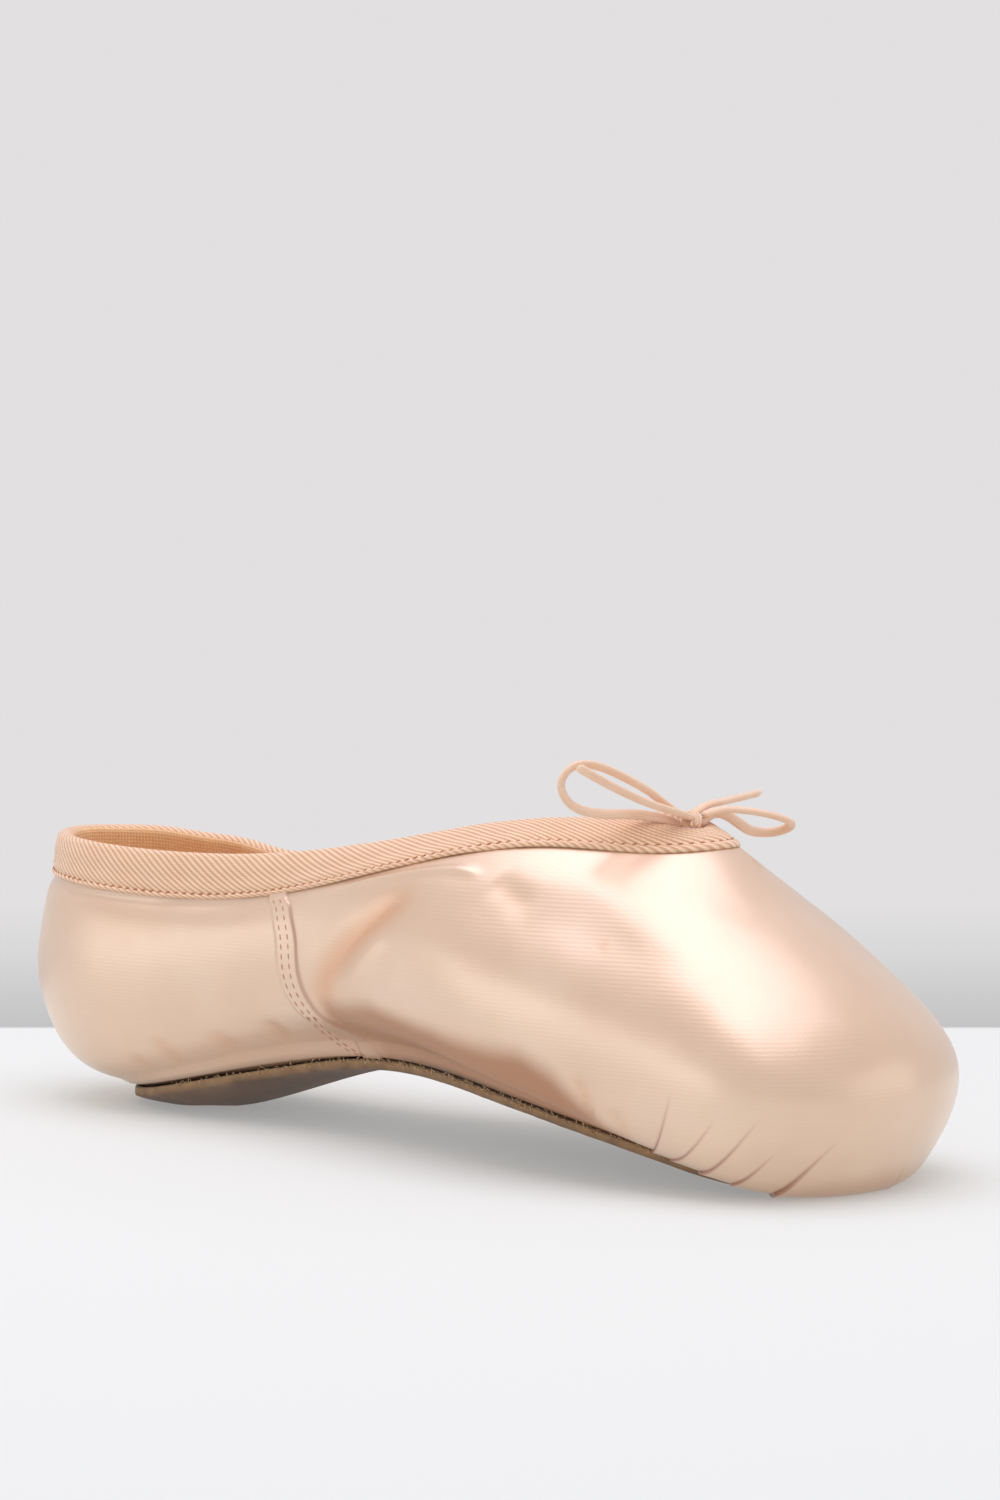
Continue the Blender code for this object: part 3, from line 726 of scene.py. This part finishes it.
def seam_relief(columns, levels, width):
    """The raised strip of each side seam, which stops under the tape and at the sole."""
    side = one_side(columns)
    across = smooth_step(SEAM_SHARE - width * 1.10, SEAM_SHARE - width * 0.90, side)
    across = across * (1 - smooth_step(SEAM_SHARE - width * 0.02, SEAM_SHARE + width * 0.02, side))
    up = smooth_step(EDGE_LEVEL, EDGE_LEVEL + 0.02, levels)
    return SEAM_STEP * up[:, None] * across[None]


def make_satin_upper():
    """The satin with its lining; gives back the seam strip's width in turns."""
    columns, width = upper_columns()
    levels = upper_levels()
    grid_levels = np.repeat(levels[:, None], len(columns), axis=1)
    turns = leaning(columns[None], grid_levels)
    points, normals, _ = last_frame(turns, grid_levels)
    lengths = run_lengths(points)
    pleats, fold = pleat_relief(columns, levels, lengths)
    creases, painted_shade_and_mark = crease_relief(points)
    side = one_side(columns)
    from_seam = (side - SEAM_SHARE + width / 2) * GIRTH_RUN / MM
    free = smooth_step(EDGE_LEVEL, 0.2, grid_levels) * (1 - smooth_step(*FREE_END, grid_levels))
    free = free * (1 - np.exp(-(from_seam / SEAM_CALM) ** 2))[None]
    slack = soft_lumps(points, SATIN_SLACK)
    seam = seam_relief(columns, levels, width)
    height = pleats + creases * free + slack * free + seam
    outside = points + normals * height[..., None]
    roll = smooth_step(*ROLL_START, levels) * (1 - smooth_step(*ROLL_END, levels))
    outside[..., 2] -= table_curve(ROLL_DOWN, side)[None] * MM * roll[:, None]
    outside[..., 2] = np.maximum(outside[..., 2], FLOOR_CLEARANCE)
    # Painted shading: the low band of satin by the sole turns browner, up to a level along the turn
    low_shade_table = dict(zip(PAINTED_LOW_SHADE_COLUMNS, np.array(PAINTED_LOW_SHADE).T))
    top = np.interp(side, low_shade_table["side"], low_shade_table["level"]) + 0.015 * soft_noise(points, 12 * MM, 9)
    low = np.interp(side, low_shade_table["side"], low_shade_table["strength"])
    low = low * (1 - smooth_step(top - 0.05, top + 0.03, levels[:, None]))
    # Painted shadow: the satin darkens into the gap by the sole at its lowest levels
    gap = (1 - smooth_step(*GAP_SHADE_END, levels))[:, None] * table_curve(GAP_SHADE_SHARE, side)[None]
    # Painted shadow: a dark line along the front edge of each side seam's strip
    front = np.exp(-((side - SEAM_SHARE) * (GIRTH_RUN / MM) / SEAM_LINE_REACH) ** 2)[None]
    fold = np.maximum(fold, 0.55 * front * smooth_step(0.1, 0.2, levels)[:, None])
    uv = np.stack([lengths / MM, grid_levels * 100], axis=-1)
    outside[:, -1] = outside[:, 0]
    marks = {"painted_shade_and_mark": painted_shade_and_mark * free, "low": low, "fold": fold, "gap": gap}
    shape = sheet_mesh(outside, uv, marks)
    piece = finish_piece("satin_upper", shape, [SATIN, LINING])
    wall = piece.modifiers.new("wall", "SOLIDIFY")
    wall.thickness = WALL
    wall.offset = -1
    wall.material_offset = 1
    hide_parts("upper")
    return width


# Twill tape over the rim

def tape_rows():
    """Rows of level, offset outward and lift over the rim in metres, and run up the tape in mm."""
    height = TAPE_WIDTH / MM
    rows = []
    for run in np.concatenate([[0.0, 0.25, 0.5, 0.8, 1.1, 1.5, 1.8, 2.1], np.linspace(2.6, height, 14)]):
        level = TAPE_SHARE + (1 - TAPE_SHARE) * run / height
        rows.append((level, float(table_curve(TAPE_SHAPE, run)) * MM, 0.0, run))
    outer, inner = TAPE_SHAPE[-1][1] * MM, -(WALL + GAP + TAPE_THICKNESS)
    middle, reach = (outer + inner) / 2, (outer - inner) / 2
    for angle in np.linspace(0, math.pi, 9)[1:-1]:
        rows.append((1.0, middle + reach * math.cos(angle), reach * 0.8 * math.sin(angle),
                     height + reach / MM * angle))
    for share in np.linspace(0, 1, 9):
        level = 1 - (1 - TAPE_INSIDE_SHARE) * share
        rows.append((level, inner, 0.0, height + reach / MM * math.pi + share * TAPE_INSIDE_RUN))
    return np.array(rows)


def make_tape():
    columns = np.linspace(0, 2, 1281)
    level, offset, lift, run = tape_rows().T[..., None]
    levels = np.repeat(level, len(columns), axis=1)
    points, normals, rises = last_frame(np.broadcast_to(columns, levels.shape), levels)
    rim = last_points(columns, np.ones(len(columns)))
    along = run_lengths(rim[None])[0] / MM
    along = along * round(along[-1] / RIB_PITCH) * RIB_PITCH / along[-1]
    phase = (along + RIB_SLANT * run) / RIB_PITCH
    body = smooth_step(*CORDED_EDGE_END, run)
    ribs = RIB_HEIGHT * MM * (np.abs(np.sin(math.pi * phase)) - 0.6) * body
    pull = soft_lumps(points, TAPE_PULL)
    far = smooth_step(0, 0.02, np.abs(rim[:, 1]) * (rim[:, 1] > 0))
    wave = np.sin(2 * math.pi * along / RIPPLE_LENGTH) * far
    ripple = RIPPLE_HEIGHT * MM * wave * smooth_step(2, 9, run)
    out = offset + (offset >= -WALL / 2) * ribs + pull + ripple
    placed = points + normals * out[..., None] + rises * lift[..., None]
    placed[:, -1] = placed[:, 0]
    uv = np.stack(np.broadcast_arrays(along, run), axis=-1)
    shape = sheet_mesh(placed, uv)
    map_layer = shape.loops.layers.uv["UVMap"]
    inside = run[offset < -WALL / 2].min()
    for face in shape.faces:
        face.material_index = int(min(loop[map_layer].uv.y for loop in face.loops) >= inside)
    piece = finish_piece("twill_tape", shape, [TWILL, LINING])
    cloth = piece.modifiers.new("cloth", "SOLIDIFY")
    cloth.thickness = TAPE_THICKNESS * 0.7
    cloth.offset = -1
    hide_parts("binding")


def stitch_row(name, places, runs, outs, size, material):
    """One joined piece of sewn stitches: an oval at each place, along its run, of a size in mm."""
    shape = bmesh.new()
    for place, run, out in zip(places, runs, outs):
        side = np.cross(out, run)
        turn = Matrix(np.array([run, side, out]).T.tolist()).to_4x4()
        matrix = Matrix.Translation(Vector(place)) @ turn @ Matrix.Diagonal((*np.array(size) * MM, 1))
        bmesh.ops.create_uvsphere(shape, u_segments=8, v_segments=5, radius=0.5, matrix=matrix)
    return finish_piece(name, shape, [material])


def points_along(wanted, lengths, points):
    """Points at wanted lengths along a line of points."""
    return np.stack([np.interp(wanted, lengths, points[:, k]) for k in range(3)], axis=1)


def unit(vectors):
    return vectors / np.linalg.norm(vectors, axis=-1, keepdims=True)


def make_tape_stitches():
    fine = np.linspace(0, 2, 2001)
    level = TAPE_SHARE + (1 - TAPE_SHARE) * TAPE_STITCH_RUN * MM / TAPE_WIDTH
    levels = np.full(len(fine), level)
    points, normals, _ = last_frame(fine, levels)
    lengths = run_lengths(points[None])[0]
    count = round(lengths[-1] / (TAPE_STITCH_PITCH * MM))
    turns = np.interp(np.arange(count) * lengths[-1] / count, lengths, fine)
    points, normals, rises = last_frame(turns, np.full(count, level))
    runs = unit(np.cross(rises, normals))
    places = points + normals * (TAPE_STITCH_LIFT * MM)
    piece = stitch_row("tape_stitches", places, runs, np.cross(runs, rises), TAPE_STITCH_SIZE, TAPE_THREAD)


def make_seam_stitches(width):
    """Two rows of stitches down each side seam's strip."""
    places, runs, outs = [], [], []
    for share in SEAM_STITCH_ROWS:
        for side in (-1, 1):
            levels = np.linspace(*SEAM_STITCH_LEVELS, 400)
            column = SEAM_SHARE - width * (1 - share)
            column = column if side < 0 else 2 - column
            turns = leaning(np.full(400, column), levels)
            points, normals, _ = last_frame(turns, levels)
            lengths = run_lengths(points[None])[0]
            wanted = np.arange(1.2 * MM, lengths[-1], SEAM_STITCH_PITCH * MM)
            where = points_along(wanted, lengths, points)
            ahead = points_along(wanted + 0.5 * MM, lengths, points)
            out = unit(points_along(wanted, lengths, normals))
            run = unit(ahead - where + 1e-9)
            out = unit(out - run * np.sum(out * run, axis=1, keepdims=True))
            places += list(where + out * SEAM_STEP)
            runs += list(run)
            outs += list(out)
    piece = stitch_row("seam_stitches", places, runs, outs, SEAM_STITCH_SIZE, SEAM_THREAD)


# Sole and insole

def plate_outline(margin):
    """Ends and half width of a plate that stands out beyond the satin's edge by a margin."""
    start, end = EDGE_X[0] - margin, EDGE_X[-1] + margin

    def half_width(x):
        inward = EDGE_X[0] + (x - start) * (EDGE_X[-1] - EDGE_X[0]) / (end - start)
        round_end = np.sqrt(np.clip(1 - (2 * (x - start) / (end - start) - 1) ** 2, 0, 1))
        return np.clip(np.interp(inward, EDGE_X, EDGE_HALF) + margin * round_end, 0, None)

    return start, end, half_width


def plate_sections(start, end, half_width, thickness, top, stations, around, power):
    """Closed sections of a plate with rounded edges, from one pointed end to the other."""
    angles = np.linspace(0, 2 * math.pi, around + 1)
    across = np.sign(np.cos(angles)) * np.abs(np.cos(angles)) ** power
    upward = np.sign(np.sin(angles)) * np.abs(np.sin(angles)) ** power
    middle, reach = (start + end) / 2, (end - start) / 2
    xs = middle - reach * np.cos(np.linspace(0, math.pi, stations + 1))
    half = half_width(xs)
    y = across[:, None] * half[None]
    x = np.broadcast_to(xs, y.shape)
    z = top(x, y) - thickness * (0.5 - 0.5 * upward[:, None])
    return np.stack([x, y, z], axis=-1), across, upward


def make_leather_sole():
    """The leather sole; gives back what places the fibres along its edge."""
    start, end, half_width = plate_outline(SOLE_MARGIN)

    def top(x, y):
        return under_height(x, y) - GAP

    points, across, upward = plate_sections(start, end, half_width, SOLE_THICKNESS - GAP, top, 300, 60, 0.30)
    points[..., 2] = np.maximum(points[..., 2], 0.0)
    rim = np.abs(across)[:, None] ** 10 * np.ones(points.shape[1])[None]
    points[..., 1] += np.sign(across)[:, None] * rim * soft_lumps(points, LEATHER_LUMPS)
    edge = np.clip(rim * (0.55 + 0.45 * upward[:, None]) + 0.25 * rim * soft_noise(points, 3 * MM, 7), 0, 1)
    points[-1] = points[0]
    shape = sheet_mesh(points, marks={"edge": edge})
    piece = finish_piece("leather_sole", shape, [LEATHER], closed=True)
    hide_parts("outsole")
    return half_width, top, start, end


def make_edge_fibres(half_width, top, start, end):
    """Loose fibres along the cut edge of the leather, densest at the waist."""
    chance = random.Random(11)
    shape = bmesh.new()
    for _ in range(FIBRE_COUNT):
        share = chance.betavariate(2.2, 2.0)
        side = chance.choice((-1, 1))
        x = start + (end - start) * (0.04 + 0.92 * share)
        y = side * float(half_width(np.array([x]))[0])
        z = float(top(np.array([x]), np.array([y]))[0]) - chance.uniform(-0.1, 1.2) * MM
        length = chance.uniform(*FIBRE_LENGTHS) * MM
        lean = Matrix.Rotation(chance.uniform(-1.2, 1.2), 4, "Y")
        lean = lean @ Matrix.Rotation(-side * chance.uniform(0.1, 1.5), 4, "X")
        place = Matrix.Translation((x, y, z)) @ lean @ Matrix.Translation((0, 0, length * 0.4))
        bmesh.ops.create_cone(shape, cap_ends=True, segments=4, radius1=0.11 * MM, radius2=0.03 * MM,
                              depth=length, matrix=place)
    piece = finish_piece("sole_fibres", shape, [FIBRE])


def make_sock():
    inset = WALL + INSOLE_CLEARANCE
    start, end, half_width = plate_outline(-inset)

    def top(x, y):
        reach = 1 * MM
        along = (under_height(x + reach, y) - under_height(x - reach, y)) / (2 * reach)
        across = (under_height(x, np.abs(y)) - under_height(x, np.abs(y) - reach)) / reach
        slant = np.sqrt(1 + along ** 2 + across ** 2)
        return under_height(x, y) + (WALL + GAP) * slant + INSOLE_THICKNESS

    points, _, _ = plate_sections(start, end, half_width, INSOLE_THICKNESS, top, 160, 48, 0.35)
    points[..., 2] += soft_lumps(points, SOCK_LUMPS)
    points[-1] = points[0]
    uv = points[..., :2] / MM
    shape = sheet_mesh(points, uv)
    piece = finish_piece("cotton_sock", shape, [SOCK], closed=True)
    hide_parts("insole")


# Drawstring

def smooth_route(points, spacing):
    """Points of a smooth curve through the route, about a spacing apart."""
    points = np.asarray(points, float)
    lengths = run_lengths(points[None])[0]
    fine = spline_weights(lengths, np.linspace(0, lengths[-1], 400)) @ points
    along = run_lengths(fine[None])[0]
    count = max(4, round(along[-1] / spacing))
    wanted = np.linspace(0, along[-1], count + 1)
    return points_along(wanted, along, fine), along[-1]


def cord_mesh(route, width, flatness, twist=0.0, relief=0.05):
    """A flat braided cord along a route, with rounded ends and the braid's crossings raised.

    flatness is thickness by width, twist the turn of the section in radians from end to end.
    """
    path, length = smooth_route(route, 0.22 * MM)
    tangent = unit(np.gradient(path, axis=0))
    side = np.zeros(path.shape)
    last = unit(np.cross(tangent[0], (0.0, 0.0, 1.0)))
    for i, direction in enumerate(tangent):
        last = unit(last - direction * np.dot(last, direction))
        side[i] = last
    over = np.cross(tangent, side)
    angle = np.linspace(0, 2 * math.pi, 21)[:, None]
    share = np.linspace(0, 1, len(path))[None]
    run = share * length
    end = np.minimum(run, length - run) / (width / 2)
    cap = np.sqrt(1 - (1 - np.clip(end, 0, 1)) ** 2)
    steps = round(length / BRAID_PITCH)
    braid = np.abs(np.sin(angle * 3 + math.pi * steps * share) * np.sin(angle * 3 - math.pi * steps * share))
    radius = width / 2 * cap * (1 - relief + 2 * relief * braid)
    local_side = radius * np.cos(angle)
    local_over = radius * flatness * np.sin(angle)
    turn = twist * share
    a = local_side * np.cos(turn) - local_over * np.sin(turn)
    b = local_side * np.sin(turn) + local_over * np.cos(turn)
    points = path[None] + a[..., None] * side[None] + b[..., None] * over[None]
    points[-1] = points[0]
    uv = np.stack(np.broadcast_arrays(run / MM, angle / (2 * math.pi) * 5.0), axis=-1)
    return sheet_mesh(points, uv), path


def make_cord(name, node, route, twist):
    shape, path = cord_mesh(np.array(route) + KNOT, CORD_WIDTH, CORD_FLATNESS, twist)
    piece = finish_piece(name, shape, [CORD], closed=True)
    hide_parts(node)


def make_knot():
    """The band of the knot: a strand wound round the crossing cords, and its tucked end."""
    angle = np.linspace(-0.6, 2 * math.pi * 1.55, 26)
    share = np.linspace(0, 1, 26)
    # The winding in millimetres: 3.1 across, 1.7 along and 3.5 high
    wound = np.stack([1.55 * np.cos(angle), -0.85 + 1.7 * share, 1.75 * np.sin(angle)], axis=1)
    shape, _ = cord_mesh(wound * MM + KNOT, BAND_WIDTH, BAND_FLATNESS)
    piece = finish_piece("bow_knot_band", shape, [CORD], closed=True)
    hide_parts("bow_knot")


def make_loose_thread():
    shape, _ = cord_mesh(np.array(THREAD_ROUTE) + KNOT, THREAD_WIDTH, 1.0, relief=0.1)
    piece = finish_piece("loose_thread", shape, [CORD], closed=True)


# Camera, light and floor

def add_aimed(name, data, place, aim):
    """An object at a place, its view or light towards its aim."""
    made = add_object(name, data)
    made.location = place
    made.rotation_euler = (Vector(aim) - Vector(place)).to_track_quat("-Z", "Y").to_euler()
    return made


def make_camera():
    data = bpy.data.cameras.new("camera")
    data.sensor_width = 36
    data.lens = CAMERA_LENS
    data.shift_x, data.shift_y = CAMERA_SHIFT
    data.clip_start, data.clip_end = 0.01, 50
    bpy.context.scene.camera = add_aimed("camera", data, CAMERA_PLACE, CAMERA_AIM)


def add_light(name, place, aim, size, radiance, tone):
    """A rectangular softbox that lights the shoe and stays out of the camera's sight."""
    data = bpy.data.lights.new(name, "AREA")
    data.shape = "RECTANGLE"
    data.size, data.size_y = size
    data.energy = radiance * math.pi * size[0] * size[1]
    data.color = colour(tone)[:3]
    add_aimed(name, data, place, aim).visible_camera = False


def make_world():
    """Pale studio surroundings: the camera sees them lighter than they light the shoe."""
    world = bpy.data.worlds.new("studio")
    bpy.context.scene.world = world
    world.use_nodes = True
    tree = world.node_tree
    back = tree.nodes["Background"]
    back.inputs["Color"].default_value = colour(BACKDROP_TONES[-1][1])
    seen = add_node(tree, "ShaderNodeLightPath").outputs["Is Camera Ray"]
    tree.links.new(map_range(tree, seen, To_Min=0.85, To_Max=1.0), back.inputs["Strength"])


def make_floor():
    """A pale board whose far part stands for the studio's plain backdrop, darker towards its foot."""
    # The board's faint glow is painted light: it lifts the shadows on it and lights the shoe from below
    material, tree, shader = new_material("matt white board", Roughness=0.9, Specular_IOR_Level=0.2,
                                          Emission_Color=(1, 1, 1, 1), Emission_Strength=0.28)
    place = coordinates(tree)
    away = Vector((CAMERA_AIM[0] - CAMERA_PLACE[0], CAMERA_AIM[1] - CAMERA_PLACE[1], 0)).normalized()
    depth = add_node(tree, "ShaderNodeVectorMath", {0: place, 1: away}, operation="DOT_PRODUCT")
    depth = depth.outputs["Value"]
    shader.inputs["Base Color"].default_value = colour(FLOOR_TONE)
    # Painted shading: the backdrop's glowing tones darken towards its foot
    share = map_range(tree, depth, From_Min=FLOOR_SEAM, From_Max=FLOOR_SEAM + 1.0)
    backdrop = add_node(tree, "ShaderNodeEmission", {"Color": colour_ramp(tree, share, BACKDROP_TONES)})
    far = map_range(tree, depth, From_Min=FLOOR_SEAM - 0.004, From_Max=FLOOR_SEAM)
    both = add_node(tree, "ShaderNodeMixShader", {0: far, 1: shader.outputs[0], 2: backdrop.outputs[0]})
    tree.links.new(both.outputs[0], tree.nodes["Material Output"].inputs["Surface"])
    shape = bmesh.new()
    bmesh.ops.create_grid(shape, x_segments=1, y_segments=1, size=8)
    add_mesh("floor", shape, [material])


make_camera()
make_world()
make_floor()
add_light("overhead softbox", place=(-0.05, -0.06, 0.95), aim=(-0.05, -0.06, 0.0), size=(1.1, 0.86),
          radiance=2.05, tone="#F9F1FF")
add_light("left strip", place=(-0.62, -1.02, 0.16), aim=(0.0, 0.0, 0.05), size=(1.2, 0.32),
          radiance=0.95, tone="#FFFFFF")
add_light("right panel", place=(1.1, 0.5, 0.3), aim=(0.0, 0.0, 0.05), size=(0.8, 0.6),
          radiance=0.5, tone="#FFFFFF")
bpy.context.scene.view_settings.view_transform = "Standard"

strip_width = make_satin_upper()
make_tape()
make_tape_stitches()
make_seam_stitches(strip_width)
make_edge_fibres(*make_leather_sole())
make_sock()
make_cord("left_loop_cord", "left_loop", LEFT_LOOP, twist=0.9)
make_cord("right_loop_cord", "right_loop", RIGHT_LOOP, twist=0.4)
make_cord("left_end_cord", "left_end", LEFT_END, twist=0.5)
make_cord("right_end_cord", "right_end", RIGHT_END, twist=-0.5)
make_knot()
make_loose_thread()
